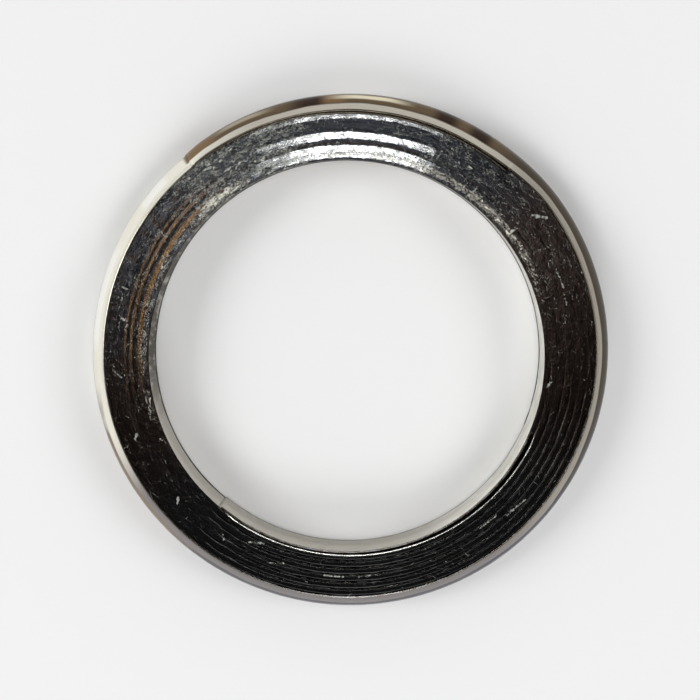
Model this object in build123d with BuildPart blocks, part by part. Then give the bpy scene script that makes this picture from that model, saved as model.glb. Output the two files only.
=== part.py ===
# Spiral-wound exhaust pipe gasket.
# A thin steel strip, pressed to a V section, and a graphite tape are wound up together.
# Lengths are in millimetres and angles in degrees. The ring lies on its lower sealing face.
# The origin is the centre of the bore at that face, and +Z runs along the pipe.

import os
from math import cos, radians, sin

from build123d import *

# Ring
bore_diameter = 48.0
gasket_height = 6.0
strip_half_turns = 15

# Wound layers, measured across the ring
strip_thickness = 0.2
filler_thickness = 0.66
layer_gap = 0.02
filler_stand_out = 0.15

# V section of the strip, whose ridge points away from the bore
ridge_depth = 1.8
ridge_flat = 1.2
bore_land = 0.15

# Ends of the windings, counter-clockwise from +X as seen from above
winding_start = 230
filler_lead = 107
free_end_wrap = 80

# Heights
mid_height = gasket_height / 2
strip_half = mid_height - filler_stand_out
flat_half = ridge_flat / 2
flank_slope = ridge_depth / (strip_half - flat_half)

# Spiral
HALF_TURN = 180
bare_step = (strip_thickness + layer_gap) / 2
filled_step = bare_step + (filler_thickness + layer_gap) / 2


def half_turn(index):
    """Inner radius of a half turn of strip, and how far its centre lies along the start line."""
    radius = bore_diameter / 2
    offset = 0
    for count in range(1, index + 1):
        step = bare_step if count == 1 else filled_step
        radius += step
        offset += step if count % 2 else -step
    return radius, offset


def free_end():
    """Radius and centre offset of the last stretch, which closes on to the turn beneath it."""
    radius, offset = half_turn(strip_half_turns - 1)
    turn = cos(radians(free_end_wrap))
    drop = (filled_step * (1 + turn) - 2 * bare_step) / (1 - turn)
    shift = drop if strip_half_turns % 2 == 0 else -drop
    return radius - drop, offset + shift


def start_plane(offset, angle):
    """Upright plane that starts at a half turn's own axis and runs out at an angle."""
    line = radians(winding_start)
    outward = radians(winding_start + angle)
    return Plane(
        origin=(offset * cos(line), offset * sin(line), 0),
        x_dir=(cos(outward), sin(outward), 0),
        z_dir=(sin(outward), -cos(outward), 0),
    )


def side(radius, half_height):
    """V line with a flat ridge, from its lower end to its upper end."""
    ridge = radius + ridge_depth
    edge = ridge - (half_height - flat_half) * flank_slope
    return [
        (edge, mid_height - half_height),
        (ridge, mid_height - flat_half),
        (ridge, mid_height + flat_half),
        (edge, mid_height + half_height),
    ]


def bore_side(radius):
    """V line of the bore, with a short upright land burnished on each edge."""
    lower_edge, lower_bend, upper_bend, upper_edge = side(radius, strip_half)
    lower_land = (radius, lower_edge[1] + bore_land)
    upper_land = (radius, upper_edge[1] - bore_land)
    return [lower_edge, lower_land, lower_bend, upper_bend, upper_land, upper_edge]


def section(plane, inner, outer):
    """Cross-section between two side lines."""
    with BuildSketch(plane) as outline:
        with BuildLine():
            Polyline(*inner, *reversed(outer), close=True)
        make_face()
    return outline.sketch


def strip_section(plane, radius, first_turn=False):
    inner = bore_side(radius) if first_turn else side(radius, strip_half)
    return section(plane, inner, side(radius + strip_thickness, strip_half))


def filler_section(plane, inner_radius, outer_radius):
    return section(plane, side(inner_radius, mid_height), side(outer_radius, mid_height))


def axis_of(plane):
    return Axis(plane.origin, (0, 0, 1))


# Steel strip, wound outwards from the bore, with its free outer end lying on the turn beneath
with BuildPart() as steel_strip:
    for index in range(strip_half_turns):
        radius, offset = half_turn(index)
        plane = start_plane(offset, HALF_TURN * index)
        profile = strip_section(plane, radius, first_turn=index < 2)
        revolve(profile, axis=axis_of(plane), revolution_arc=HALF_TURN)
    radius, offset = free_end()
    plane = start_plane(offset, HALF_TURN * strip_half_turns)
    revolve(strip_section(plane, radius), axis=axis_of(plane), revolution_arc=free_end_wrap)

# Graphite filler, which starts thin between the first two turns of strip
with BuildPart() as graphite_filler:
    under_radius, under_offset = half_turn(0)
    over_radius, over_offset = half_turn(2)
    over_plane = start_plane(over_offset, filler_lead)
    revolve(
        filler_section(over_plane, under_radius, over_radius - layer_gap),
        axis=axis_of(over_plane),
        revolution_arc=HALF_TURN - filler_lead,
    )
    under_plane = start_plane(under_offset, 0)
    seat_radius = under_radius + strip_thickness + layer_gap
    seat = side(seat_radius, gasket_height)
    clearing = side(seat_radius - filler_thickness - filled_step, gasket_height)
    revolve(
        section(under_plane, clearing, seat),
        axis=axis_of(under_plane),
        mode=Mode.SUBTRACT,
    )
    for index in range(1, strip_half_turns - 2):
        under_radius, offset = half_turn(index)
        over_radius, offset = half_turn(index + 2)
        plane = start_plane(offset, HALF_TURN * index)
        inner_radius = under_radius + strip_thickness + layer_gap
        profile = filler_section(plane, inner_radius, over_radius - layer_gap)
        revolve(profile, axis=axis_of(plane), revolution_arc=HALF_TURN)

steel_strip.part.label = "steel_strip"
graphite_filler.part.label = "graphite_filler"

os.makedirs("parts", exist_ok=True)
export_step(steel_strip.part, "parts/steel_strip.step")
export_step(graphite_filler.part, "parts/graphite_filler.step")
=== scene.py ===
from math import acos, atan, atan2, cos, degrees, hypot, radians, sin, tau

import bmesh
import bpy
from mathutils import Matrix, Vector, noise


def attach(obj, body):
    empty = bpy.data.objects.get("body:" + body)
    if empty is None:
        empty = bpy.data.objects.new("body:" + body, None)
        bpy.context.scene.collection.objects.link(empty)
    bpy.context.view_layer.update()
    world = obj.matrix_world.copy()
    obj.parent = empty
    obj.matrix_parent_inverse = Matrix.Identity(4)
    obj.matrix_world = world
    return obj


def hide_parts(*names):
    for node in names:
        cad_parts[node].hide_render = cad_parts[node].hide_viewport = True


# Looks of the spiral-wound exhaust gasket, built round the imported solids.
# The winding and its wear are drawn in millimetres and scaled to metres at the end.
# Headings are degrees clockwise from +Y, which is up in the photograph.

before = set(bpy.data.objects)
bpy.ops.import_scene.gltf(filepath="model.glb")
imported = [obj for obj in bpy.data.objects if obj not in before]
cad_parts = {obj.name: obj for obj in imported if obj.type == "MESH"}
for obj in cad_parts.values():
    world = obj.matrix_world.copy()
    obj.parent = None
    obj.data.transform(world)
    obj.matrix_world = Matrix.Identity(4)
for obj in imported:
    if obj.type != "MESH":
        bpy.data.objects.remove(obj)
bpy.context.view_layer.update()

MM = 0.001
UP = Vector((0, 0, 1))
HALF_TURN = 180
FULL_TURN = 360

# Spiral, with the same sizes as the solids
BORE_RADIUS = 24.0
STRIP_THICKNESS = 0.2
FILLER_THICKNESS = 0.66
LAYER_GAP = 0.02
STRIP_HALF_TURNS = 15
WINDING_START = 230
FILLER_LEAD = 107
FREE_END_WRAP = 80
BARE_STEP = (STRIP_THICKNESS + LAYER_GAP) / 2
FILLED_STEP = BARE_STEP + (FILLER_THICKNESS + LAYER_GAP) / 2
START_LINE = Vector((cos(radians(WINDING_START)), sin(radians(WINDING_START)), 0))

# Section, whose rounded ridge stays a hair inside the flat ridge of the solids
MID_HEIGHT = 3.0
STRIP_HALF = 2.85
RIDGE_DEPTH = 1.79
RIDGE_FLAT_HALF = 0.6
FLANK_SLOPE = RIDGE_DEPTH / (STRIP_HALF - RIDGE_FLAT_HALF)
FLANK_ANGLE = atan(FLANK_SLOPE)
NOSE_RADIUS = RIDGE_FLAT_HALF * sin(FLANK_ANGLE) / (1 - cos(FLANK_ANGLE))
NOSE_SEGMENTS = 4
STRIP_TIP = 0.06

# Bands of filler at each face: height lost at places across a band, from its middle to its shoulder
BAND_PROFILE = ((0, 0), (0.6, 0.004), (0.93, 0.014), (1, 0.07))
SHOULDER_START = 0.9
SHOULDER_DEPTH = 0.26
SMEAR_REACH = 0.11
FACE_LEVEL = 2.985

# Tags: the side of a layer that a point is on, or its place across a band, from -1 to 1
INNER_SIDE = -2
OUTER_SIDE = 2
TIP = 0

# Edges of the strip, which wave in and out and sink here and there. Cells are the noise's cell sizes
# round and across the ring, and a seed.
EDGE_REACH = 0.5
EDGE_WAVE = 0.03
EDGE_WAVE_CELLS = (3.0, 0.8, 11)
EDGE_SINK = 0.04
EDGE_SINK_CELLS = (2.2, 0.8, 17)

# Graphite rubbed over the strip's edges, broken up by a broad and a fine noise, and mostly missing
# between the headings of the clear stretch
COVER = 1.3
COVER_MISSING = 1.1
CLEAR_STRETCH = (85, 125, 195, 235)
COVER_BROAD = 0.6
COVER_BROAD_CELLS = (2.0, 1.0, 3)
COVER_FINE = 0.35
COVER_FINE_CELLS = (0.7, 0.6, 5)

# Unevenness of the bands' height
BAND_DIP = 0.008
BAND_DIP_CELLS = (4.0, 1.2, 7)
BAND_GRAIN = 0.005
BAND_GRAIN_CELLS = (0.8, 0.5, 9)

# Second turn of strip from the bore, whose edge is bare and bright between the start of the strip
# and the start of the filler: its half turn, and the headings between which it shows
BRIGHT_HALF_TURN = 2
BRIGHT_EDGE = (111, 116, 214, 220)
BRIGHT_EDGE_LEAN = 0.13
BRIGHT_EDGE_BURR = 0.08
BRIGHT_EDGE_LIFT = 0.09
BRIGHT_EDGE_CLEARING = 2

# Free outer end: how far its ridge and its edges close the gap beneath them, as shares of the gap,
# between which degrees past the end of the filler they do, how much thinner its cut end is and over
# how many degrees, and where the turn beneath comes into view past it
END_DROP = 0.3
END_LEAN = 0.55
END_PRESS = (-13, 7)
END_THINNING = 0.14
END_TAPER = 6
END_UNCOVERS = (0.5, 2)

# Mesh
STRIP_STEPS = 180
FILLER_STEPS = 250
MERGE_DISTANCE = 0.001

# Camera
CAMERA_TILT = 7.01
CAMERA_TURN = 6.55
CAMERA_DISTANCE = 173.4
CAMERA_LENS = 72.05
CAMERA_SENSOR = 36
CAMERA_SHIFT = (0.0038, 0.0085)
CAMERA_CLIP = 0.01

# Lights: heading and height in degrees, distance and size in metres, and power in watts
KEY_LIGHT = (279, 88.4, 0.9, 0.1, 0.9)
LEFT_LIGHT = (280, 40, 1.0, 0.5, 4)
RIGHT_LIGHT = (80, 40, 1.0, 0.5, 3)
FRONT_LIGHT = (180, 40, 1.0, 0.5, 3)

# Sky: strength at the horizon and overhead, and the heights between which it changes
SKY_HEIGHTS = (0.35, 0.75)
SKY_STRENGTHS = (0.75, 0.1)

# Floor
FLOOR_COLOUR = (0.86, 0.86, 0.86)
FLOOR_ROUGHNESS = 0.9
FLOOR_HALF_WIDTH = 3


def half_turn(index):
    """Inner radius of a half turn of strip, and how far its centre lies along the start line."""
    radius = BORE_RADIUS
    offset = 0
    for count in range(1, index + 1):
        step = BARE_STEP if count == 1 else FILLED_STEP
        radius += step
        offset += step if count % 2 else -step
    return radius, offset


def free_end():
    """Radius and centre offset of the last stretch, which closes on to the turn beneath it."""
    radius, offset = half_turn(STRIP_HALF_TURNS - 1)
    turn = cos(radians(FREE_END_WRAP))
    drop = (FILLED_STEP * (1 + turn) - 2 * BARE_STEP) / (1 - turn)
    return radius - drop, offset - drop


def away_from(centre, point):
    """Level direction from an upright axis to a point."""
    across = point - centre
    across.z = 0
    return across.normalized()


def heading_of(point):
    """Heading of a point of the ring, in degrees clockwise from +Y."""
    return degrees(atan2(point.x, point.y)) % FULL_TURN


def rise(value, low, high):
    """Smooth step from 0 at low to 1 at high."""
    share = min(max((value - low) / (high - low), 0), 1)
    return share * share * (3 - 2 * share)


def plateau(value, low, full_from, full_to, high):
    """1 between the two inner values, with smooth steps down to 0 at the outer ones."""
    return rise(value, low, full_from) * (1 - rise(value, full_to, high))


def streak(point, around, across, seed):
    """Noise from -1 to 1 that is drawn out round the ring, with cell sizes in millimetres."""
    radius = hypot(point.x, point.y)
    turn = BORE_RADIUS / (radius * around)
    return noise.noise(Vector((point.x * turn, point.y * turn, radius / across + seed + point.z)))


# Section outlines, as (radius, height, tag)


def v_line(radius, half_height, tag):
    """Points on a V line with a rounded ridge, from its lower end up."""
    nose_centre = radius + RIDGE_DEPTH - NOSE_RADIUS
    edge = radius + RIDGE_DEPTH - (half_height - RIDGE_FLAT_HALF) * FLANK_SLOPE
    nose = []
    for count in range(NOSE_SEGMENTS + 1):
        angle = FLANK_ANGLE * (2 * count / NOSE_SEGMENTS - 1)
        nose.append((nose_centre + NOSE_RADIUS * cos(angle), MID_HEIGHT + NOSE_RADIUS * sin(angle), tag))
    return [(edge, MID_HEIGHT - half_height, tag), *nose, (edge, MID_HEIGHT + half_height, tag)]


def strip_outline(radius):
    """Outline of the strip's section, with a rounded tip at both edges."""
    inner = v_line(radius, STRIP_HALF - STRIP_TIP, INNER_SIDE)
    outer = v_line(radius + STRIP_THICKNESS, STRIP_HALF - STRIP_TIP, OUTER_SIDE)
    middle = radius + STRIP_THICKNESS / 2
    lower_tip = (middle, MID_HEIGHT - STRIP_HALF, TIP)
    upper_tip = (middle, MID_HEIGHT + STRIP_HALF, TIP)
    return [lower_tip, *outer, upper_tip, *reversed(inner)]


def filler_outline(inner_radius, outer_radius):
    """Outline of the filler's section. On its bands the tag tells how far across a point lies."""
    inner = v_line(inner_radius, MID_HEIGHT - SHOULDER_DEPTH, INNER_SIDE)
    outer = v_line(outer_radius, MID_HEIGHT - SHOULDER_DEPTH, OUTER_SIDE)
    face_shift = (MID_HEIGHT - STRIP_HALF) * FLANK_SLOPE
    middle = (inner_radius + outer_radius) / 2 - face_shift
    half_width = (outer_radius - inner_radius) / 2
    band = [(-across, drop) for across, drop in reversed(BAND_PROFILE[1:])] + list(BAND_PROFILE)
    points = [(middle + half_width * across, drop, across) for across, drop in band]
    lower = [(radius, drop, across) for radius, drop, across in points]
    upper = [(radius, 2 * MID_HEIGHT - drop, across) for radius, drop, across in reversed(points)]
    return [*lower, *outer, *upper, *reversed(inner)]


# Winding


def add_stretch(bm, outline, offset, start, arc, steps, shape):
    """Spin an outline round one of the spiral's centres, let shape finish it, and add it to bm."""
    stretch = bmesh.new()
    tags = stretch.verts.layers.float.new("tag")
    exposed = stretch.verts.layers.float.new("exposed")
    bare = stretch.verts.layers.float.new("bare")
    angle = radians(WINDING_START + start)
    outward = Vector((cos(angle), sin(angle), 0))
    centre = START_LINE * offset
    verts = []
    for radius, height, tag in outline:
        vert = stretch.verts.new(centre + outward * radius + UP * height)
        vert[tags] = tag
        verts.append(vert)
    edges = [stretch.edges.new(pair) for pair in zip(verts, verts[1:] + verts[:1])]
    bmesh.ops.spin(
        stretch,
        geom=verts + edges,
        cent=centre,
        axis=UP,
        dvec=Vector(),
        angle=radians(arc),
        steps=steps,
        use_merge=False,
        use_normal_flip=False,
        use_duplicate=False,
    )
    for vert in stretch.verts:
        vert.co, vert[exposed], vert[bare] = shape(vert.co, centre, vert[tags])
    stretch.verts.layers.float.remove(tags)
    mesh = bpy.data.meshes.new("stretch")
    stretch.to_mesh(mesh)
    stretch.free()
    bm.from_mesh(mesh)
    bpy.data.meshes.remove(mesh)


def end_heading():
    """Heading of the strip's free outer end."""
    return (90 - WINDING_START - HALF_TURN * STRIP_HALF_TURNS - FREE_END_WRAP) % FULL_TURN


def gap_under_end(outward):
    """Room between the last stretch of strip and the turn beneath it, in a direction from the axis."""
    along = outward.dot(START_LINE)
    under_radius, under_offset = half_turn(STRIP_HALF_TURNS - 2)
    end_radius, end_offset = free_end()
    return end_radius + end_offset * along - under_radius - STRIP_THICKNESS - under_offset * along


def end_press(outward, height, side):
    """How far the last turn is pressed inward, on the tail (side 1) or just before it (side -1)."""
    past = side * degrees(acos(min(max(-outward.dot(START_LINE), -1), 1)))
    closing = END_DROP + END_LEAN * height / STRIP_HALF
    return closing * gap_under_end(outward) * rise(past, *END_PRESS)


def exposure(index, tag, heading):
    """1 on the ring's outer wall, -1 on the bore's wall and 0 where a side is hidden."""
    if tag == INNER_SIDE and index < 2:
        return -1.0
    if tag != OUTER_SIDE or index < STRIP_HALF_TURNS - 2:
        return 0.0
    if index > STRIP_HALF_TURNS - 2:
        return 1.0
    if heading < HALF_TURN:
        return 0.0
    start, full = END_UNCOVERS
    return 1.0 - rise(heading, end_heading() + start, end_heading() + full)


def strip_shape(index):
    """Waves and lean of one stretch of strip, and which of its sides and edges can be seen."""

    def shape(point, centre, tag):
        outward = away_from(centre, point)
        height = abs(point.z - MID_HEIGHT)
        heading = heading_of(point)
        seen = exposure(index, tag, heading)
        bare = plateau(heading, *BRIGHT_EDGE) if index == BRIGHT_HALF_TURN else 0.0
        edge = rise(height, STRIP_HALF - EDGE_REACH, STRIP_HALF)
        shift = EDGE_WAVE * edge * streak(point, *EDGE_WAVE_CELLS) * (1 - bare)
        shift += (BRIGHT_EDGE_LEAN + (BRIGHT_EDGE_BURR if tag == OUTER_SIDE else 0)) * edge * bare
        if index >= STRIP_HALF_TURNS - 1:
            shift -= end_press(outward, height, 1 if index == STRIP_HALF_TURNS else -1)
        if index == STRIP_HALF_TURNS:
            to_end = (end_heading() - heading + HALF_TURN) % FULL_TURN - HALF_TURN
            outward_share = (1 + tag / OUTER_SIDE) / 2
            shift -= END_THINNING * outward_share * rise(to_end, -END_TAPER, 0)
        point = point + outward * shift
        sink = EDGE_SINK * edge * (0.5 + 0.5 * streak(point, *EDGE_SINK_CELLS)) * (1 - bare)
        sink -= BRIGHT_EDGE_LIFT * edge * bare
        point.z += -sink if point.z > MID_HEIGHT else sink
        return point, seen, bare

    return shape


def filler_shape(index):
    """Wear of the bands: uneven height, and shoulders rubbed out over the strip's edges."""

    def shape(point, centre, tag):
        outward = away_from(centre, point)
        height = abs(point.z - MID_HEIGHT)
        if index == STRIP_HALF_TURNS - 3:
            outward_share = (1 + min(max(tag, -1), 1)) / 2
            point = point - outward * outward_share * end_press(outward, height, -1)
        if abs(tag) > 1:
            return point, 0.0, 0.0
        cover = COVER - COVER_MISSING * plateau(heading_of(point), *CLEAR_STRETCH)
        cover += COVER_BROAD * streak(point, *COVER_BROAD_CELLS)
        cover += COVER_FINE * streak(point, *COVER_FINE_CELLS)
        if index == BRIGHT_HALF_TURN and tag < 0:
            bare = plateau(heading_of(point), *BRIGHT_EDGE)
            cover -= BRIGHT_EDGE_CLEARING * bare
            point = point - outward * tag * bare * (BRIGHT_EDGE_LEAN + BRIGHT_EDGE_BURR)
        cover = min(max(cover, 0), 1)
        height += (FACE_LEVEL - height) * cover
        if abs(tag) > SHOULDER_START:
            reach = SMEAR_REACH * cover
            point = point + outward * (reach if tag > 0 else -reach)
        height -= BAND_DIP * (1 + streak(point, *BAND_DIP_CELLS))
        height -= BAND_GRAIN * (1 + streak(point, *BAND_GRAIN_CELLS))
        point.z = MID_HEIGHT + (height if point.z > MID_HEIGHT else -height)
        return point, 0.0, 0.0

    return shape


def lead_shape(point, centre, tag):
    """First stretch of filler, thinned to the room between the first two turns of strip."""
    point, seen, bare = filler_shape(0)(point, centre, tag)
    outward = away_from(centre, point)
    over_radius, over_offset = half_turn(2)
    seat = BORE_RADIUS + STRIP_THICKNESS + LAYER_GAP
    room = over_radius - LAYER_GAP + over_offset * outward.dot(START_LINE) - seat
    inward_share = (1 - min(max(tag, -1), 1)) / 2
    return point + outward * inward_share * (FILLER_THICKNESS - room), seen, bare


def wound_strip():
    """The steel strip, from its inner end at the bore to its free outer end."""
    bm = bmesh.new()
    for index in range(STRIP_HALF_TURNS):
        radius, offset = half_turn(index)
        outline = strip_outline(radius)
        add_stretch(bm, outline, offset, HALF_TURN * index, HALF_TURN, STRIP_STEPS, strip_shape(index))
    radius, offset = free_end()
    steps = STRIP_STEPS * FREE_END_WRAP // HALF_TURN
    start = HALF_TURN * STRIP_HALF_TURNS
    shape = strip_shape(STRIP_HALF_TURNS)
    add_stretch(bm, strip_outline(radius), offset, start, FREE_END_WRAP, steps, shape)
    return bm


def wound_filler():
    """The graphite filler, from its thin start to its end under the outermost turn of strip."""
    bm = bmesh.new()
    over_radius, offset = half_turn(2)
    outer_radius = over_radius - LAYER_GAP
    outline = filler_outline(outer_radius - FILLER_THICKNESS, outer_radius)
    arc = HALF_TURN - FILLER_LEAD
    add_stretch(bm, outline, offset, FILLER_LEAD, arc, FILLER_STEPS * arc // HALF_TURN, lead_shape)
    for index in range(1, STRIP_HALF_TURNS - 2):
        under_radius, _ = half_turn(index)
        over_radius, offset = half_turn(index + 2)
        outline = filler_outline(under_radius + STRIP_THICKNESS + LAYER_GAP, over_radius - LAYER_GAP)
        shape = filler_shape(index)
        add_stretch(bm, outline, offset, HALF_TURN * index, HALF_TURN, FILLER_STEPS, shape)
    return bm


def finish_piece(name, bm, node, material):
    """Join, close, scale and link a piece, hide the solid that it stands for, and attach it to the root
    body.
    """
    bmesh.ops.remove_doubles(bm, verts=bm.verts, dist=MERGE_DISTANCE)
    bmesh.ops.holes_fill(bm, edges=bm.edges, sides=0)
    bmesh.ops.recalc_face_normals(bm, faces=bm.faces)
    bmesh.ops.scale(bm, vec=Vector((MM, MM, MM)), verts=bm.verts)
    for face in bm.faces:
        face.smooth = len(face.verts) == 4
    mesh = bpy.data.meshes.new(name)
    bm.to_mesh(mesh)
    bm.free()
    mesh.materials.append(material)
    piece = bpy.data.objects.new(name, mesh)
    bpy.context.scene.collection.objects.link(piece)
    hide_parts(node)
    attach(piece, "root")


# Material helpers


def put(tree, socket, value):
    """Link a socket to another one, or give it a plain value."""
    if isinstance(value, bpy.types.NodeSocket):
        tree.links.new(value, socket)
    elif isinstance(value, tuple) and len(value) == 3 and socket.type == "RGBA":
        socket.default_value = (*value, 1)
    else:
        socket.default_value = value


def add(tree, kind, inputs=None, **settings):
    """New node with its settings and inputs, the inputs keyed by name or number."""
    node = tree.nodes.new(kind)
    for name, value in settings.items():
        setattr(node, name, value)
    for key, value in (inputs or {}).items():
        put(tree, node.inputs[key], value)
    return node


def calc(tree, operation, first, second=0.0, third=0.0):
    node = add(tree, "ShaderNodeMath", {0: first, 1: second, 2: third}, operation=operation)
    return node.outputs[0]


def product(tree, first, *others):
    for other in others:
        first = calc(tree, "MULTIPLY", first, other)
    return first


def total(tree, first, *others):
    for other in others:
        first = calc(tree, "ADD", first, other)
    return first


def highest(tree, first, *others):
    for other in others:
        first = calc(tree, "MAXIMUM", first, other)
    return first


def distance_from(tree, value, middle):
    return calc(tree, "ABSOLUTE", calc(tree, "SUBTRACT", value, middle))


def vary(tree, field, share, base):
    """A base value with a share of a field added to it."""
    return calc(tree, "MULTIPLY_ADD", field, share, base)


def waver(tree, field, reach):
    """Noise from 0 to 1 moved to run from minus reach to plus reach."""
    return vary(tree, field, 2 * reach, -reach)


def remap(tree, value, low, high, start=0.0, end=1.0):
    """Smooth step of a value from one range to another."""
    inputs = {"Value": value, "From Min": low, "From Max": high, "To Min": start, "To Max": end}
    return add(tree, "ShaderNodeMapRange", inputs, interpolation_type="SMOOTHSTEP").outputs[0]


def mix(tree, share, first, second):
    """Blend of two colours."""
    return add(tree, "ShaderNodeMix", {0: share, 6: first, 7: second}, data_type="RGBA").outputs[2]


def vector_calc(tree, operation, first, second):
    """Vector that comes from two vectors."""
    return add(tree, "ShaderNodeVectorMath", {0: first, 1: second}, operation=operation).outputs["Vector"]


def vector_value(tree, operation, first, second):
    """Number that comes from two vectors."""
    return add(tree, "ShaderNodeVectorMath", {0: first, 1: second}, operation=operation).outputs["Value"]


def scaled_vector(tree, vector, share):
    return add(tree, "ShaderNodeVectorMath", {0: vector, 3: share}, operation="SCALE").outputs["Vector"]


def speckle(tree, vector, scale, detail=2.0, roughness=0.5, distortion=0.0):
    inputs = {
        "Vector": vector,
        "Scale": scale,
        "Detail": detail,
        "Roughness": roughness,
        "Distortion": distortion,
    }
    return add(tree, "ShaderNodeTexNoise", inputs).outputs[0]


def new_group(name, inputs, outputs):
    """Empty shader node group with its sockets, and the sockets of its two end nodes."""
    tree = bpy.data.node_groups.new(name, "ShaderNodeTree")
    for label, kind in inputs:
        tree.interface.new_socket(label, in_out="INPUT", socket_type=kind)
    for label, kind in outputs:
        tree.interface.new_socket(label, in_out="OUTPUT", socket_type=kind)
    return tree, tree.nodes.new("NodeGroupInput").outputs, tree.nodes.new("NodeGroupOutput").inputs


def use_group(tree, group, inputs=None):
    node = tree.nodes.new("ShaderNodeGroup")
    node.node_tree = group
    for key, value in (inputs or {}).items():
        put(tree, node.inputs[key], value)
    return node.outputs


FLOAT = "NodeSocketFloat"
VECTOR = "NodeSocketVector"

# How much finer the drawn-out places run across the ring than round it
STREAK_FINENESS = 6.0
RUBBED_FINENESS = 2.4

# Flecks: detail, roughness and distortion of their noise, the noise that gathers them in clumps, and
# the level above which they show
FLECK_FIELD = (3.0, 0.7, 0.6)
CLUMP_SCALE = 0.22
CLUMP_FIELD = (2.0, 0.6)
CLUMP_PULL = 0.5
FLECK_LEVEL = 0.82
FLECK_FADE = 0.08

# Strokes: scale, detail, roughness and distortion of their noise, and the level above which they show
STROKE_FIELD = (1.0, 1.0, 0.4, 0.4)
STROKE_LEVEL = 0.85
STROKE_FADE = 0.05

# Scratch: how its sides are torn, where it is interrupted, and the share of its width that is full
TORN_FIELD = (2.2, 4.0, 0.8)
TORN_REACH = 0.55
BROKEN_FIELD = (1.7, 2.0, 0.6)
BROKEN_RANGE = (0.35, 0.6, 0.15, 1.0)
SCRATCH_CORE = 0.3


def ring_place_group():
    """Where a point is: heading, radius and height, its place in millimetres, and two places that
    make a texture drawn out round the ring, a lot (Streak) or a little (Rubbed)."""
    outputs = (
        ("Heading", FLOAT),
        ("Radius", FLOAT),
        ("Height", FLOAT),
        ("Streak", VECTOR),
        ("Rubbed", VECTOR),
        ("Place", VECTOR),
    )
    tree, _, out = new_group("ring_place", (), outputs)
    place = scaled_vector(tree, add(tree, "ShaderNodeTexCoord").outputs["Object"], 1 / MM)
    x, y, z = add(tree, "ShaderNodeSeparateXYZ", {0: place}).outputs
    radius = calc(tree, "SQRT", total(tree, product(tree, x, x), product(tree, y, y)))
    turn = calc(tree, "FRACT", total(tree, calc(tree, "DIVIDE", calc(tree, "ARCTAN2", x, y), tau), 1.0))
    heading = product(tree, turn, float(FULL_TURN))
    along_x = product(tree, calc(tree, "DIVIDE", x, radius), BORE_RADIUS)
    along_y = product(tree, calc(tree, "DIVIDE", y, radius), BORE_RADIUS)
    across = total(tree, radius, z)
    drawn_out = []
    for fineness in (STREAK_FINENESS, RUBBED_FINENESS):
        inputs = {0: along_x, 1: along_y, 2: product(tree, across, fineness)}
        drawn_out.append(add(tree, "ShaderNodeCombineXYZ", inputs).outputs[0])
    for socket, value in zip(out, (heading, radius, z, *drawn_out, place)):
        put(tree, socket, value)
    return tree


def sector_group():
    """Mask that is 1 within a sector of headings and fades out at both of its ends."""
    inputs = (("Heading", FLOAT), ("Centre", FLOAT), ("Half Width", FLOAT), ("Fade", FLOAT))
    tree, given, out = new_group("sector", inputs, (("Mask", FLOAT),))
    apart = calc(tree, "SUBTRACT", given["Heading"], given["Centre"])
    turns = calc(tree, "ROUND", calc(tree, "DIVIDE", apart, float(FULL_TURN)))
    wrapped = distance_from(tree, apart, product(tree, turns, float(FULL_TURN)))
    outer = total(tree, given["Half Width"], given["Fade"])
    put(tree, out["Mask"], remap(tree, wrapped, outer, given["Half Width"]))
    return tree


def flecks_group():
    """Small torn flecks, more or fewer of them as Amount rises or falls."""
    inputs = (("Place", VECTOR), ("Scale", FLOAT), ("Amount", FLOAT))
    tree, given, out = new_group("flecks", inputs, (("Mask", FLOAT),))
    field = speckle(tree, given["Place"], given["Scale"], *FLECK_FIELD)
    clumps = speckle(tree, given["Place"], product(tree, given["Scale"], CLUMP_SCALE), *CLUMP_FIELD)
    level = total(tree, field, waver(tree, clumps, CLUMP_PULL / 2))
    limit = calc(tree, "SUBTRACT", FLECK_LEVEL, given["Amount"])
    put(tree, out["Mask"], remap(tree, level, limit, total(tree, limit, FLECK_FADE)))
    return tree


def strokes_group():
    """Short scratches that all run one way, at an angle in degrees."""
    inputs = (("Place", VECTOR), ("Angle", FLOAT), ("Length", FLOAT), ("Width", FLOAT), ("Amount", FLOAT))
    tree, given, out = new_group("strokes", inputs, (("Mask", FLOAT),))
    inputs = {"Vector": given["Place"], "Angle": calc(tree, "RADIANS", given["Angle"])}
    turned = add(tree, "ShaderNodeVectorRotate", inputs, rotation_type="Z_AXIS").outputs[0]
    lengths = calc(tree, "DIVIDE", 1.0, given["Length"])
    widths = calc(tree, "DIVIDE", 1.0, given["Width"])
    cell = add(tree, "ShaderNodeCombineXYZ", {0: lengths, 1: widths, 2: 1.0}).outputs[0]
    apart = add(tree, "ShaderNodeCombineXYZ", {2: given["Angle"]}).outputs[0]
    moved = vector_calc(tree, "ADD", vector_calc(tree, "MULTIPLY", turned, cell), apart)
    limit = calc(tree, "SUBTRACT", STROKE_LEVEL, given["Amount"])
    field = speckle(tree, moved, *STROKE_FIELD)
    put(tree, out["Mask"], remap(tree, field, limit, total(tree, limit, STROKE_FADE)))
    return tree


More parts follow.
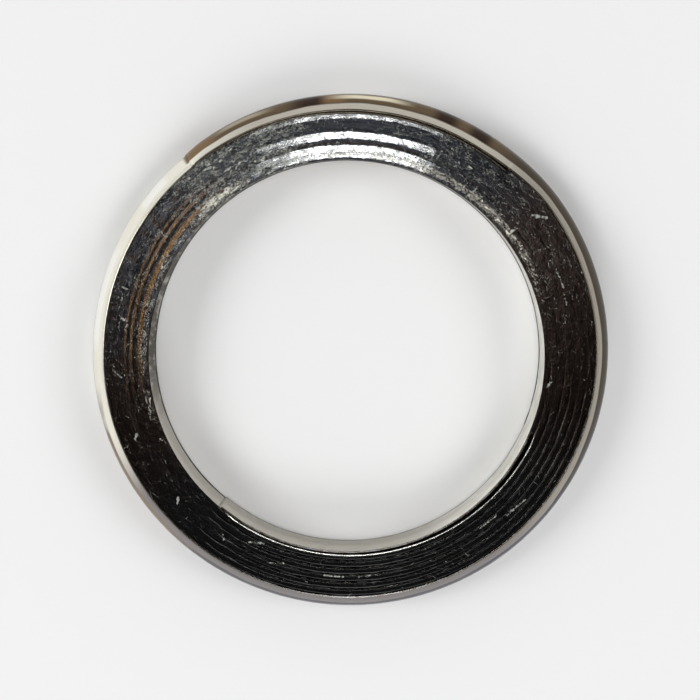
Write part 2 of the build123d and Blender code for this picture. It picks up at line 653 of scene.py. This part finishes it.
def scratch_group():
    """One straight scratch between two places, torn at its sides and broken along its length."""
    inputs = (("Place", VECTOR), ("Start", VECTOR), ("End", VECTOR), ("Half Width", FLOAT))
    tree, given, out = new_group("scratch", inputs, (("Mask", FLOAT),))
    flat = vector_calc(tree, "MULTIPLY", given["Place"], (1, 1, 0))
    along = vector_calc(tree, "SUBTRACT", given["End"], given["Start"])
    apart = vector_calc(tree, "SUBTRACT", flat, given["Start"])
    reach = vector_value(tree, "DOT_PRODUCT", apart, along)
    length = vector_value(tree, "DOT_PRODUCT", along, along)
    share = add(tree, "ShaderNodeClamp", {0: calc(tree, "DIVIDE", reach, length)}).outputs[0]
    distance = vector_value(tree, "DISTANCE", apart, scaled_vector(tree, along, share))
    torn = waver(tree, speckle(tree, given["Place"], *TORN_FIELD), -TORN_REACH)
    core = product(tree, given["Half Width"], SCRATCH_CORE)
    line = remap(tree, total(tree, distance, torn), given["Half Width"], core)
    broken = remap(tree, speckle(tree, given["Place"], *BROKEN_FIELD), *BROKEN_RANGE)
    put(tree, out["Mask"], product(tree, line, broken))
    return tree


RING_PLACE = ring_place_group()
SECTOR = sector_group()
FLECKS = flecks_group()
STROKES = strokes_group()
SCRATCH = scratch_group()


def sector(tree, heading, centre, half_width, fade):
    inputs = {"Heading": heading, "Centre": centre, "Half Width": half_width, "Fade": fade}
    return use_group(tree, SECTOR, inputs)["Mask"]


def sectors(tree, heading, parts):
    """Mask that is 1 within any of several sectors."""
    return highest(tree, *(sector(tree, heading, *part) for part in parts))


def rings_mask(tree, radius, rings, fade):
    """1 on rings given as middle radius and half width in millimetres, and 0 between them."""
    masks = []
    for middle, half_width in rings:
        masks.append(remap(tree, distance_from(tree, radius, middle), half_width, half_width - fade))
    return highest(tree, *masks)


def on_ring(heading, radius):
    """Place on the ring, in millimetres, at a heading and radius."""
    angle = radians(heading)
    return (radius * sin(angle), radius * cos(angle), 0)


def new_material(name):
    material = bpy.data.materials.new(name)
    material.use_nodes = True
    tree = material.node_tree
    return material, tree, tree.nodes["Principled BSDF"]


# Graphite colours
GRAPHITE_BLACK = (0.02, 0.02, 0.02)
GRAPHITE_BROWN = (0.0185, 0.013, 0.011)
GRAPHITE_GREY = (0.03, 0.033, 0.038)
# Near-black painted shade for the pits and lines beside the highlight at the top
GRAPHITE_PIT_SHADE = (0.007, 0.008, 0.01)
# Silver of the burnished lands, near the top partly a painted highlight
GRAPHITE_SILVER = (0.36, 0.37, 0.37)
COPPER_BROWN = (0.095, 0.055, 0.026)
# Near-black of the rust lines, also the painted shade in the groove
RUST_AND_GROOVE_SHADE = (0.008, 0.006, 0.005)
FLECK_SILVER = (0.62, 0.63, 0.57)
FLECK_CREAM = (0.95, 0.91, 0.78)

# Noise of the graphite: cells per millimetre, detail and roughness
RUB_FIELD = (0.16, 3.0, 0.6)
GRAIN_FIELD = (3.5, 4.0, 0.7)
PATCH_FIELD = (0.7, 3.0, 0.6)
LINE_FIELD = (0.3, 2.0, 0.5)
STRENGTH_FIELD = (1.6, 2.0, 0.6)

# Tint of the face, by sectors: middle heading, half width and fade in degrees
BROWN_SECTORS = ((70.0, 28.0, 35.0), (280.0, 30.0, 30.0))
DUSTY_SECTOR = (335.0, 38.0, 40.0)
DUST_RANGE = (0.62, 1.0)
DUST_GRAIN = 0.6
# Painted shade: near-black pits and lines in the sectors on both sides of the top highlight
PIT_SHADE_SECTOR = (8.0, 25.0, 30.0)
PIT_SHADE_STRENGTH = 0.85
LINED_SHADE_SECTOR = (320.0, 35.0, 30.0)
LINE_RANGE = (0.52, 0.6)
LINE_SHADE_STRENGTH = 0.8

# Burnished silver near the top, on rings given as middle radius and half width in millimetres. It is kept
# to the top sector, so it is partly a painted highlight. The lands, the grain and the patches together
# decide where it shows.
SILVER_HIGHLIGHT_SECTOR = (1.0, 9.0, 29.0)
BURNISHED_HIGHLIGHT_RINGS = ((26.9, 0.55), (25.05, 0.9))
DULLED_RING = ((29.3, 0.5),)
DULLED_STRENGTH = 0.8
BURNISHED_FADE = 0.2
LAND_WEIGHT = 0.8
GRAIN_WEIGHT = 0.8
PATCH_WEIGHT = 1.1
BURNISH_AND_HIGHLIGHT_RANGE = (1.28, 1.75)
LAND_RANGE = (0.0, 0.3)
RING_WANDER = 0.25

# Copper rings, a rust line, and a dark line of painted shade in a groove on the left and at the top
STAIN_WANDER = 0.25
STAIN_FADE = 0.1
COPPER_RINGS = ((27.1, 0.16), (26.4, 0.22), (25.35, 0.34))
COPPER_SECTOR = (291.0, 15.0, 22.0)
COPPER_FADE = 0.12
COPPER_STREAKS = (0.2, 0.45, 0.3, 1.0)
RUST_RING = ((26.75, 0.14),)
RUST_SECTOR = (288.0, 25.0, 15.0)
GROOVE_SHADE_RING = ((26.05, 0.16),)
GROOVE_SHADE_SECTOR = (325.0, 65.0, 20.0)

# Crumbs torn up beside the bore, on the right and less on the left
CRUMB_RING = ((24.8, 0.6),)
CRUMB_FADE = 0.35
CRUMBS_RIGHT = (32.0, 28.0, 25.0)
CRUMBS_LEFT = (290.0, 30.0, 25.0)
CRUMBS_LEFT_STRENGTH = 0.7

# Flecks: where there are more of them, how many more, and how weak they may be there
FLECKED_SECTORS = {
    "dusty": (335.0, 45.0, 70.0),
    "right": (50.0, 20.0, 25.0),
    "torn": (332.0, 12.0, 16.0),
}
FINE_SCALE = 3.6
FINE_AMOUNT = 0.14
FINE_MORE = {"dusty": 0.1, "crumbs": 0.1, "right": 0.06, "torn": 0.08}
FINE_STRENGTH = 0.4
COARSE_SCALE = 1.5
COARSE_AMOUNT = 0.07
COARSE_MORE = {"dusty": 0.09, "crumbs": 0.11, "torn": 0.06}
STRENGTH_RANGE = (0.35, 0.7, 0.15, 1.0)
LEAST_STRENGTH = {"crumbs": 0.8, "dusty": 0.4, "torn": 0.9}
GRAIN_BREAKS = (0.25, 0.6, 0.3, 1.0)
STROKE_ANGLES = (35, 75, 140)
STROKE_SIZE = {"Length": 1.8, "Width": 0.16, "Amount": 0.12}
STROKE_STRENGTH = 0.4
SCRATCH_STRENGTH = 0.6

# Gloss and relief of the graphite, the relief in millimetres
GRAPHITE_ROUGHNESS = 0.13
GRAIN_ROUGHNESS = 0.14
MARK_ROUGHNESS = 0.3
MARK_DULLNESS = 0.9
BURNISH_SMOOTHING = 0.6
GRAIN_RELIEF = 0.018
PATCH_RELIEF = 0.03
RUB_RELIEF = 0.015
MARK_RELIEF = 0.02

# Scratches and chips: heading and radius of the start, heading and radius of the end, half width
SCRATCHES = (
    (52.0, 28.2, 54.4, 29.4, 0.2),
    (51.8, 24.6, 52.2, 25.8, 0.16),
    (66.5, 27.5, 71.5, 27.5, 0.11),
    (73.5, 27.4, 76.0, 27.35, 0.1),
    (96.4, 25.1, 97.8, 24.6, 0.17),
    (128.4, 28.0, 131.4, 27.75, 0.12),
    (131.4, 27.75, 134.5, 27.6, 0.1),
    (136.5, 26.75, 142.0, 26.65, 0.09),
    (172.0, 27.2, 177.0, 27.25, 0.09),
    (181.0, 27.25, 186.0, 27.2, 0.11),
    (197.0, 26.8, 201.0, 27.3, 0.1),
    (204.0, 25.2, 208.0, 25.9, 0.1),
    (214.0, 27.3, 216.0, 26.4, 0.1),
    (229.2, 27.6, 230.6, 27.0, 0.12),
    (249.2, 27.8, 250.0, 27.5, 0.2),
    (265.0, 27.6, 267.0, 28.6, 0.08),
    (279.8, 27.2, 280.4, 27.9, 0.09),
    (287.6, 28.0, 287.8, 29.0, 0.1),
    (304.2, 26.3, 304.4, 27.6, 0.1),
    (24.0, 26.2, 24.4, 27.4, 0.1),
    (36.7, 24.5, 36.9, 25.7, 0.1),
)


def face_tint(tree, ring, patches, grain):
    """Black graphite, brown to the right and left, mottled dusty grey near the top, with near-black pits
    and lines of painted shade beside the top highlight.
    """
    heading = ring["Heading"]
    tint = mix(tree, sectors(tree, heading, BROWN_SECTORS), GRAPHITE_BLACK, GRAPHITE_BROWN)
    dust = remap(tree, total(tree, patches, product(tree, grain, DUST_GRAIN)), *DUST_RANGE)
    dust = product(tree, sector(tree, heading, *DUSTY_SECTOR), dust)
    tint = mix(tree, dust, tint, GRAPHITE_GREY)
    # Painted shade: pits and lines beside the highlight darkened to near black
    pit_shade = product(tree, sector(tree, heading, *PIT_SHADE_SECTOR), PIT_SHADE_STRENGTH)
    lines = remap(tree, speckle(tree, ring["Streak"], *LINE_FIELD), *LINE_RANGE)
    lines = product(tree, lines, sector(tree, heading, *LINED_SHADE_SECTOR), LINE_SHADE_STRENGTH)
    return mix(tree, highest(tree, pit_shade, lines), tint, GRAPHITE_PIT_SHADE)


def face_stain(tree, ring, wander, rub, tint):
    """Copper rings and thin rust lines on the left of the face, and a dark line of painted shade in a
    groove as far as the top.
    """
    heading = ring["Heading"]
    radius = calc(tree, "MULTIPLY_ADD", wander, STAIN_WANDER, ring["Radius"])
    rust = product(
        tree,
        rings_mask(tree, radius, RUST_RING, STAIN_FADE),
        sector(tree, heading, *RUST_SECTOR),
    )
    # Painted shade: the groove darkened to near black
    groove = product(
        tree,
        rings_mask(tree, radius, GROOVE_SHADE_RING, STAIN_FADE),
        sector(tree, heading, *GROOVE_SHADE_SECTOR),
    )
    tint = mix(tree, highest(tree, rust, groove), tint, RUST_AND_GROOVE_SHADE)
    copper = product(
        tree,
        rings_mask(tree, radius, COPPER_RINGS, COPPER_FADE),
        remap(tree, rub, *COPPER_STREAKS),
        sector(tree, heading, *COPPER_SECTOR),
    )
    return mix(tree, copper, tint, COPPER_BROWN)


def face_scratches(tree, ring):
    """The scratches and chips that stand out one by one."""
    masks = []
    for start_heading, start_radius, last_heading, last_radius, half_width in SCRATCHES:
        inputs = {
            "Place": ring["Place"],
            "Start": on_ring(start_heading, start_radius),
            "End": on_ring(last_heading, last_radius),
            "Half Width": half_width,
        }
        masks.append(use_group(tree, SCRATCH, inputs)["Mask"])
    return highest(tree, *masks)


def face_crumbs(tree, ring):
    """Where the graphite is torn into bright crumbs beside the bore."""
    left = product(tree, sector(tree, ring["Heading"], *CRUMBS_LEFT), CRUMBS_LEFT_STRENGTH)
    sides = highest(tree, left, sector(tree, ring["Heading"], *CRUMBS_RIGHT))
    return product(tree, rings_mask(tree, ring["Radius"], CRUMB_RING, CRUMB_FADE), sides)


def fleck_layer(tree, ring, places, scale, amount, more):
    """Flecks of one size, with more of them in some places."""
    for name, share in more.items():
        amount = vary(tree, places[name], share, amount)
    return use_group(tree, FLECKS, {"Place": ring["Rubbed"], "Scale": scale, "Amount": amount})["Mask"]


def face_flecks(tree, ring, grain, crumbs):
    """Silver flecks and scratches, of uneven strength, thickest near the top and the inner edge."""
    places = {name: sector(tree, ring["Heading"], *part) for name, part in FLECKED_SECTORS.items()}
    places["crumbs"] = crumbs
    fine = fleck_layer(tree, ring, places, FINE_SCALE, FINE_AMOUNT, FINE_MORE)
    coarse = fleck_layer(tree, ring, places, COARSE_SCALE, COARSE_AMOUNT, COARSE_MORE)
    strokes = []
    for angle in STROKE_ANGLES:
        inputs = {"Place": ring["Place"], "Angle": angle, **STROKE_SIZE}
        strokes.append(use_group(tree, STROKES, inputs)["Mask"])
    strokes = product(tree, highest(tree, *strokes), STROKE_STRENGTH)
    strength = remap(tree, speckle(tree, ring["Place"], *STRENGTH_FIELD), *STRENGTH_RANGE)
    for name, least in LEAST_STRENGTH.items():
        strength = highest(tree, strength, product(tree, places[name], least))
    marks = highest(tree, product(tree, fine, FINE_STRENGTH), coarse, strokes)
    marks = product(tree, marks, strength, remap(tree, grain, *GRAIN_BREAKS))
    return highest(tree, marks, product(tree, face_scratches(tree, ring), SCRATCH_STRENGTH))


def face_burnish_and_highlight(tree, ring, wander, grain, patches):
    """Where the face is pressed flat and burnished to silver, kept to the top sector, so the silver is
    partly a painted highlight.
    """
    radius = total(tree, ring["Radius"], wander, waver(tree, grain, RING_WANDER))
    dulled = product(tree, rings_mask(tree, radius, DULLED_RING, BURNISHED_FADE), DULLED_STRENGTH)
    lands = highest(tree, rings_mask(tree, radius, BURNISHED_HIGHLIGHT_RINGS, BURNISHED_FADE), dulled)
    lands = product(tree, sector(tree, ring["Heading"], *SILVER_HIGHLIGHT_SECTOR), lands)
    worn = total(
        tree,
        product(tree, lands, LAND_WEIGHT),
        product(tree, grain, GRAIN_WEIGHT),
        product(tree, patches, PATCH_WEIGHT),
    )
    return product(tree, remap(tree, worn, *BURNISH_AND_HIGHLIGHT_RANGE), remap(tree, lands, *LAND_RANGE))


def burnished_graphite():
    """Black graphite, burnished to silver at the top, partly as a painted highlight with painted shade
    beside it, stained copper on the left, flecked all over.
    """
    material, tree, shader = new_material("burnished_graphite")
    ring = use_group(tree, RING_PLACE)
    rub = speckle(tree, ring["Streak"], *RUB_FIELD)
    grain = speckle(tree, ring["Place"], *GRAIN_FIELD)
    patches = speckle(tree, ring["Place"], *PATCH_FIELD)
    wander = waver(tree, rub, RING_WANDER)
    burnish_and_highlight = face_burnish_and_highlight(tree, ring, wander, grain, patches)
    crumbs = face_crumbs(tree, ring)
    marks = face_flecks(tree, ring, grain, crumbs)

    colour = face_tint(tree, ring, patches, grain)
    # Burnished silver, partly a painted highlight at the top
    colour = mix(tree, burnish_and_highlight, colour, GRAPHITE_SILVER)
    colour = face_stain(tree, ring, wander, rub, colour)
    colour = mix(tree, marks, colour, mix(tree, crumbs, FLECK_SILVER, FLECK_CREAM))
    put(tree, shader.inputs["Base Color"], colour)

    matt = vary(tree, grain, GRAIN_ROUGHNESS, GRAPHITE_ROUGHNESS)
    put(tree, shader.inputs["Roughness"], vary(tree, marks, MARK_ROUGHNESS, matt))
    put(tree, shader.inputs["Metallic"], vary(tree, marks, -MARK_DULLNESS, 1.0))

    relief = vary(tree, patches, PATCH_RELIEF, product(tree, grain, GRAIN_RELIEF))
    relief = product(tree, relief, vary(tree, burnish_and_highlight, -BURNISH_SMOOTHING, 1.0))
    relief = vary(tree, rub, RUB_RELIEF, relief)
    relief = vary(tree, marks, MARK_RELIEF, relief)
    bump = add(tree, "ShaderNodeBump", {"Height": relief, "Strength": 1.0, "Distance": MM})
    put(tree, shader.inputs["Normal"], bump.outputs[0])
    return material


# Steel colours
# Cream, a painted reflection of a bright light on the left of the outer wall
STEEL_CREAM_REFLECTION = (0.9, 0.87, 0.76)
# White of bare rubbed steel, also used for painted highlights on the outer wall and the bore's painted
# reflection
STEEL_WHITE_AND_HIGHLIGHT = (0.97, 0.96, 0.9)
# Beige, the flank's painted reflection of the floor, and stripes in the bore
STEEL_BEIGE = (0.6, 0.56, 0.48)
# Dimmer beige, the flank's painted reflection on the right
STEEL_DIM_REFLECTION = (0.37, 0.34, 0.29)
STEEL_BROWN = (0.13, 0.09, 0.052)
# Umber, painted shade and dark reflections on the outer wall
STEEL_UMBER_SHADE = (0.036, 0.021, 0.014)
# Straw, a painted glint
STEEL_STRAW_GLINT = (0.85, 0.78, 0.58)
# Olive, the ridge's tint, also painted shade along the rim
STEEL_OLIVE = (0.065, 0.05, 0.035)
# Mauve grey, the flank's painted reflection at the bottom
STEEL_MAUVE = (0.26, 0.24, 0.235)
# Navy, painted shade along the bottom of the ridge
STEEL_NAVY_SHADE = (0.06, 0.055, 0.07)
STEEL_RUST = (0.26, 0.16, 0.08)
STEEL_TAN = (0.25, 0.18, 0.115)
RIM_YELLOW = (0.3, 0.22, 0.1)
EDGE_GREY = (0.16, 0.16, 0.16)
BORE_GREY = (0.6, 0.575, 0.52)
BORE_BROWN = (0.06, 0.048, 0.036)
# Soot: graphite stain on the edges, and painted shade on the hidden sides inside the winding
SOOT_AND_SHADE = (0.1, 0.085, 0.065)

# Heights above or below the middle at which the outer wall's tint changes from the flank's lighter painted
# reflection to the ridge's darker one, and its painted straw glints lie
RIDGE_EDGE = 1.9
RIM_EDGE = 2.68
TINT_FADE = 0.08
GLINT_HEIGHT = 1.0
GLINT_BAND = (0.45, 0.15)

# Tint of the ridge, by sectors: heat-tint olive and brown, with painted dark reflections, straw glints,
# white highlights, navy shade below and a cream reflection on the left. The cream ends sharply at the
# strip's free end.
RIDGE_BROWN = (357.0, 36.0, 10.0)
RIDGE_DARK_REFLECTION = ((22.5, 1.0, 3.0), (31.0, 1.0, 3.0), (353.0, 2.0, 6.0))
RIDGE_WARM = ((324.0, 2.5, 4.0), (357.0, 1.0, 3.0))
WARM_STRENGTH = 0.7
# Painted highlights: straw glints on the ridge
FAINT_GLINT = (336.0, 2.0, 7.0)
FAINT_STRENGTH = 0.4
BRIGHT_GLINT = (5.0, 3.0, 8.0)
RIDGE_NAVY_SHADE = (165.0, 35.0, 30.0)
RIDGE_TAN = (238.0, 10.0, 16.0)
# Painted reflection: cream on the left of the ridge
CREAM_REFLECTION_FADES_IN = (310.0, 46.0, 14.0)
CREAM_REFLECTION_ENDS = (280.0, 40.0, 1.0)
# Painted highlights: white streaks on the ridge to the left
RIDGE_PAINTED_HIGHLIGHTS = ((284.0, 9.0, 5.0), (310.5, 3.0, 2.0))
TINT_WANDER = 12.0
TINT_WANDER_SCALE = 0.22

# Tone of the flank and its rim, painted as reflections of the floor, with painted olive shade along the
# rim
FLANK_DIMMER_REFLECTION = (95.0, 45.0, 20.0)
FLANK_MAUVE = (190.0, 45.0, 25.0)
FLANK_CREAM_REFLECTION = (287.0, 33.0, 20.0)
RIM_OLIVE_SHADE = (40.0, 40.0, 15.0)
RIM_YELLOWED = (118.0, 28.0, 12.0)

# Border between ridge and flank: its waves, where it lies lower, and its dark line of painted shade
BORDER_WAVE = 0.25
BORDER_WAVE_SCALE = 0.15
LOWER_BORDERS = (((165.0, 35.0, 30.0), 0.42), ((238.0, 14.0, 14.0), 0.4))
DARK_SHADE_LINE = (18.0, 48.0, 10.0)
SHADE_LINE_BAND = (0.16, 0.04)
SHADE_LINE_STRENGTH = 0.55

# Bore's wall, lighter to the right as a painted reflection of the floor
BORE_BRIGHT_REFLECTION = (105.0, 32.0, 30.0)
STRIPE_FIELD = (0.35, 2.0, 0.5)
STRIPE_RANGE = (0.4, 0.6)
STRIPE_STRENGTH = 0.35
SMEAR_SECTOR = (300.0, 30.0, 25.0)
SMEAR_FIELD = (0.9, 3.0, 0.6)
SMEAR_RANGE = (0.3, 0.55, 0.2, 0.85)

# Edges of the strip on the face: their height, and where they are worn grey or rubbed bright, with a
# painted highlight along the outer wall's rim
WALL_SEEN = (0.3, 0.6)
BORE_SEEN = (-0.3, -0.6)
TIP_RANGE = (STRIP_HALF - 0.14, STRIP_HALF - 0.08)
RIM_RANGE = (RIM_EDGE + 0.08, RIM_EDGE + 0.14)
WORN_EDGES = (150.0, 48.0, 25.0)
WORN_FIELD = (1.2, 3.0, 0.7)
WORN_RANGE = (0.42, 0.6)
# Painted highlight: a white line along the outer wall's rim at the bottom
BRIGHT_RIM_HIGHLIGHT = (172.0, 10.0, 14.0)
RUBBED_FIELD = (0.8, 3.0, 0.6)
RUBBED_RANGE = (0.35, 0.6, 0.35, 1.0)
RUBBED_MOST = (195.0, 20.0, 25.0)
SOOT_CLEARED = 0.5

# Gloss of the steel: what its bore, its worn edges and its bright edges lose, and its rolled grain
BORE_DULLNESS = 0.6
WORN_DULLNESS = 0.8
BRIGHT_DULLNESS = 0.4
ROLLED_FIELD = (0.5, 2.0, 0.5)
STEEL_ROUGHNESS = 0.1
ROLLED_ROUGHNESS = 0.2
ROLLED_STRENGTH = 0.3
ROLLED_RELIEF = 0.01


def ridge_tint(tree, ring, height):
    """Tint of the ridge: heat-tint olive and brown, darker than the flank as a painted reflection of the
    shaded floor, with painted dark patches and straw glints at the top, painted navy shade below, a
    painted cream reflection on the left and painted white highlights.
    """
    heading = ring["Heading"]
    tint = mix(tree, sector(tree, heading, *RIDGE_BROWN), STEEL_OLIVE, STEEL_BROWN)
    # Painted dark reflections: umber patches on the ridge
    tint = mix(tree, sectors(tree, heading, RIDGE_DARK_REFLECTION), tint, STEEL_UMBER_SHADE)
    warm = product(tree, sectors(tree, heading, RIDGE_WARM), WARM_STRENGTH)
    tint = mix(tree, warm, tint, STEEL_RUST)
    # Painted highlights: straw glints on the ridge
    faint = product(tree, sector(tree, heading, *FAINT_GLINT), FAINT_STRENGTH)
    glint = highest(tree, faint, sector(tree, heading, *BRIGHT_GLINT))
    band = remap(tree, distance_from(tree, height, GLINT_HEIGHT), *GLINT_BAND)
    tint = mix(tree, product(tree, glint, band), tint, STEEL_STRAW_GLINT)
    wander = waver(tree, speckle(tree, ring["Place"], TINT_WANDER_SCALE), TINT_WANDER)
    uneven = total(tree, heading, wander)
    # Painted shade: navy along the bottom of the ridge
    tint = mix(tree, sector(tree, uneven, *RIDGE_NAVY_SHADE), tint, STEEL_NAVY_SHADE)
    tint = mix(tree, sector(tree, uneven, *RIDGE_TAN), tint, STEEL_TAN)
    # Painted reflection: cream on the left
    cream = product(tree, sector(tree, uneven, *CREAM_REFLECTION_FADES_IN), sector(tree, heading, *CREAM_REFLECTION_ENDS))
    tint = mix(tree, cream, tint, STEEL_CREAM_REFLECTION)
    # Painted highlights: white streaks on the left
    return mix(tree, sectors(tree, heading, RIDGE_PAINTED_HIGHLIGHTS), tint, STEEL_WHITE_AND_HIGHLIGHT)


def flank_tint(tree, ring, height):
    """Tone between the ridge and the sealing face, painted as a reflection of the floor: beige, dimmer to
    the right, mauve below and cream on the left, with painted olive shade along the rim at the top and
    right.
    """
    heading = ring["Heading"]
    tint = mix(tree, sector(tree, heading, *FLANK_DIMMER_REFLECTION), STEEL_BEIGE, STEEL_DIM_REFLECTION)
    tint = mix(tree, sector(tree, heading, *FLANK_MAUVE), tint, STEEL_MAUVE)
    tint = mix(tree, sector(tree, heading, *FLANK_CREAM_REFLECTION), tint, STEEL_CREAM_REFLECTION)
    rim = remap(tree, height, RIM_EDGE, RIM_EDGE + TINT_FADE)
    # Painted shade: olive along the rim at the top and right
    tint = mix(tree, product(tree, rim, sector(tree, heading, *RIM_OLIVE_SHADE)), tint, STEEL_OLIVE)
    return mix(tree, product(tree, rim, sector(tree, heading, *RIM_YELLOWED)), tint, RIM_YELLOW)


def wall_tint(tree, ring, height):
    """Tint of the whole outer wall, with the flank lighter and the ridge darker as painted reflections,
    and the wavy dark line of painted shade under the ridge.
    """
    heading = ring["Heading"]
    level = total(tree, height, waver(tree, speckle(tree, ring["Place"], BORDER_WAVE_SCALE), BORDER_WAVE))
    for part, drop in LOWER_BORDERS:
        level = vary(tree, sector(tree, heading, *part), drop, level)
    on_ridge = remap(tree, level, RIDGE_EDGE + TINT_FADE, RIDGE_EDGE - TINT_FADE)
    tint = mix(tree, on_ridge, flank_tint(tree, ring, height), ridge_tint(tree, ring, level))
    # Painted shade: a thin umber line along the border
    line = remap(tree, distance_from(tree, level, RIDGE_EDGE), *SHADE_LINE_BAND)
    line = product(tree, line, sector(tree, heading, *DARK_SHADE_LINE), SHADE_LINE_STRENGTH)
    return mix(tree, line, tint, STEEL_UMBER_SHADE)


def bore_tint(tree, ring):
    """Tint of the bore's wall: bright to the right as a painted reflection of the floor, grey below, dull
    brown and smeared to the left.
    """
    heading = ring["Heading"]
    # Painted reflection: bright to the right
    tint = mix(tree, sector(tree, heading, *BORE_BRIGHT_REFLECTION), BORE_GREY, STEEL_WHITE_AND_HIGHLIGHT)
    stripes = remap(tree, speckle(tree, ring["Streak"], *STRIPE_FIELD), *STRIPE_RANGE)
    tint = mix(tree, product(tree, stripes, STRIPE_STRENGTH), tint, STEEL_BEIGE)
    smear = remap(tree, speckle(tree, ring["Place"], *SMEAR_FIELD), *SMEAR_RANGE)
    smear = product(tree, sector(tree, heading, *SMEAR_SECTOR), smear)
    return mix(tree, smear, tint, BORE_BROWN)


def tinted_stainless_with_painted_light():
    """Bright rolled strip, straw to brown where heat has tinted it, with painted reflections, highlights
    and shade on its walls, and painted shade, in a soot colour, on the hidden sides inside the winding.
    """
    material, tree, shader = new_material("tinted_stainless_with_painted_light")
    ring = use_group(tree, RING_PLACE)
    heading = ring["Heading"]
    height = distance_from(tree, ring["Height"], MID_HEIGHT)
    seen = add(tree, "ShaderNodeAttribute", attribute_name="exposed").outputs["Fac"]
    bare = add(tree, "ShaderNodeAttribute", attribute_name="bare").outputs["Fac"]
    on_wall = remap(tree, seen, *WALL_SEEN)
    in_bore = remap(tree, seen, *BORE_SEEN)
    # Painted shade: hidden sides, such as the gap under the free end, take the soot colour
    colour = mix(tree, on_wall, SOOT_AND_SHADE, wall_tint(tree, ring, height))
    colour = mix(tree, in_bore, colour, bore_tint(tree, ring))

    tip = remap(tree, height, *TIP_RANGE)
    broken = remap(tree, speckle(tree, ring["Place"], *WORN_FIELD), *WORN_RANGE)
    worn = product(tree, tip, sector(tree, heading, *WORN_EDGES), broken)
    # Painted highlight along the outer wall's rim
    rim = product(tree, on_wall, remap(tree, height, *RIM_RANGE))
    rim = product(tree, rim, sector(tree, heading, *BRIGHT_RIM_HIGHLIGHT), broken)
    rubbed = remap(tree, speckle(tree, ring["Place"], *RUBBED_FIELD), *RUBBED_RANGE)
    rubbed = product(tree, rubbed, vary(tree, sector(tree, heading, *RUBBED_MOST), 0.5, 0.5))
    shiny = highest(tree, product(tree, tip, bare, rubbed), rim)
    sooty = product(tree, tip, vary(tree, on_wall, -SOOT_CLEARED, 1.0))
    colour = mix(tree, sooty, colour, SOOT_AND_SHADE)
    colour = mix(tree, worn, colour, EDGE_GREY)
    colour = mix(tree, shiny, colour, STEEL_WHITE_AND_HIGHLIGHT)
    put(tree, shader.inputs["Base Color"], colour)

    dull = highest(
        tree,
        product(tree, in_bore, BORE_DULLNESS),
        product(tree, worn, WORN_DULLNESS),
        product(tree, shiny, BRIGHT_DULLNESS),
    )
    put(tree, shader.inputs["Metallic"], calc(tree, "SUBTRACT", 1.0, dull))
    rolled = speckle(tree, ring["Streak"], *ROLLED_FIELD)
    put(tree, shader.inputs["Roughness"], vary(tree, rolled, ROLLED_ROUGHNESS, STEEL_ROUGHNESS))
    relief = {"Height": rolled, "Strength": ROLLED_STRENGTH, "Distance": ROLLED_RELIEF * MM}
    put(tree, shader.inputs["Normal"], add(tree, "ShaderNodeBump", relief).outputs[0])
    return material


# Stage


def pale_floor():
    material, _, shader = new_material("pale_floor")
    shader.inputs["Base Color"].default_value = (*FLOOR_COLOUR, 1)
    shader.inputs["Roughness"].default_value = FLOOR_ROUGHNESS
    return material


def lay_floor():
    bm = bmesh.new()
    bmesh.ops.create_grid(bm, x_segments=1, y_segments=1, size=FLOOR_HALF_WIDTH)
    mesh = bpy.data.meshes.new("floor")
    bm.to_mesh(mesh)
    bm.free()
    mesh.materials.append(pale_floor())
    floor = bpy.data.objects.new("floor", mesh)
    bpy.context.scene.collection.objects.link(floor)


def soft_light(name, heading, height, distance, size, power):
    """Round soft light that faces the ring from a heading and a height in degrees."""
    data = bpy.data.lights.new(name, "AREA")
    data.shape = "DISK"
    data.size = size
    data.energy = power
    light = bpy.data.objects.new(name, data)
    level = cos(radians(height))
    away = Vector((level * sin(radians(heading)), level * cos(radians(heading)), sin(radians(height))))
    light.location = away * distance
    light.rotation_euler = away.to_track_quat("Z", "Y").to_euler()
    bpy.context.scene.collection.objects.link(light)


def light_world():
    """Pale at the horizon and dim overhead, so that the level faces stay dark."""
    world = bpy.data.worlds.new("studio")
    bpy.context.scene.world = world
    world.use_nodes = True
    tree = world.node_tree
    background = tree.nodes["Background"]
    direction = add(tree, "ShaderNodeTexCoord").outputs["Generated"]
    height = add(tree, "ShaderNodeSeparateXYZ", {0: direction}).outputs[2]
    put(tree, background.inputs["Strength"], remap(tree, height, *SKY_HEIGHTS, *SKY_STRENGTHS))
    background.inputs["Color"].default_value = (1, 1, 1, 1)


def set_camera():
    """Camera that looks at the middle of the ring, tilted and turned as in the photograph."""
    tilt = radians(CAMERA_TILT)
    turn = radians(CAMERA_TURN)
    back = Vector((sin(tilt) * sin(turn), sin(tilt) * cos(turn), cos(tilt)))
    right = Vector((0, 1, 0)).cross(back).normalized()
    up = back.cross(right)
    place = Matrix((right, up, back)).transposed().to_4x4()
    place.translation = (UP * MID_HEIGHT + back * CAMERA_DISTANCE) * MM
    data = bpy.data.cameras.new("camera")
    data.lens = CAMERA_LENS
    data.sensor_width = CAMERA_SENSOR
    data.shift_x, data.shift_y = CAMERA_SHIFT
    data.clip_start = CAMERA_CLIP
    camera = bpy.data.objects.new("camera", data)
    camera.matrix_world = place
    bpy.context.scene.collection.objects.link(camera)
    bpy.context.scene.camera = camera


finish_piece("strip", wound_strip(), "steel_strip", tinted_stainless_with_painted_light())
finish_piece("filler", wound_filler(), "graphite_filler", burnished_graphite())

lay_floor()
light_world()
soft_light("key", *KEY_LIGHT)
soft_light("left", *LEFT_LIGHT)
soft_light("right", *RIGHT_LIGHT)
soft_light("front", *FRONT_LIGHT)
set_camera()
bpy.context.scene.view_settings.view_transform = "Standard"
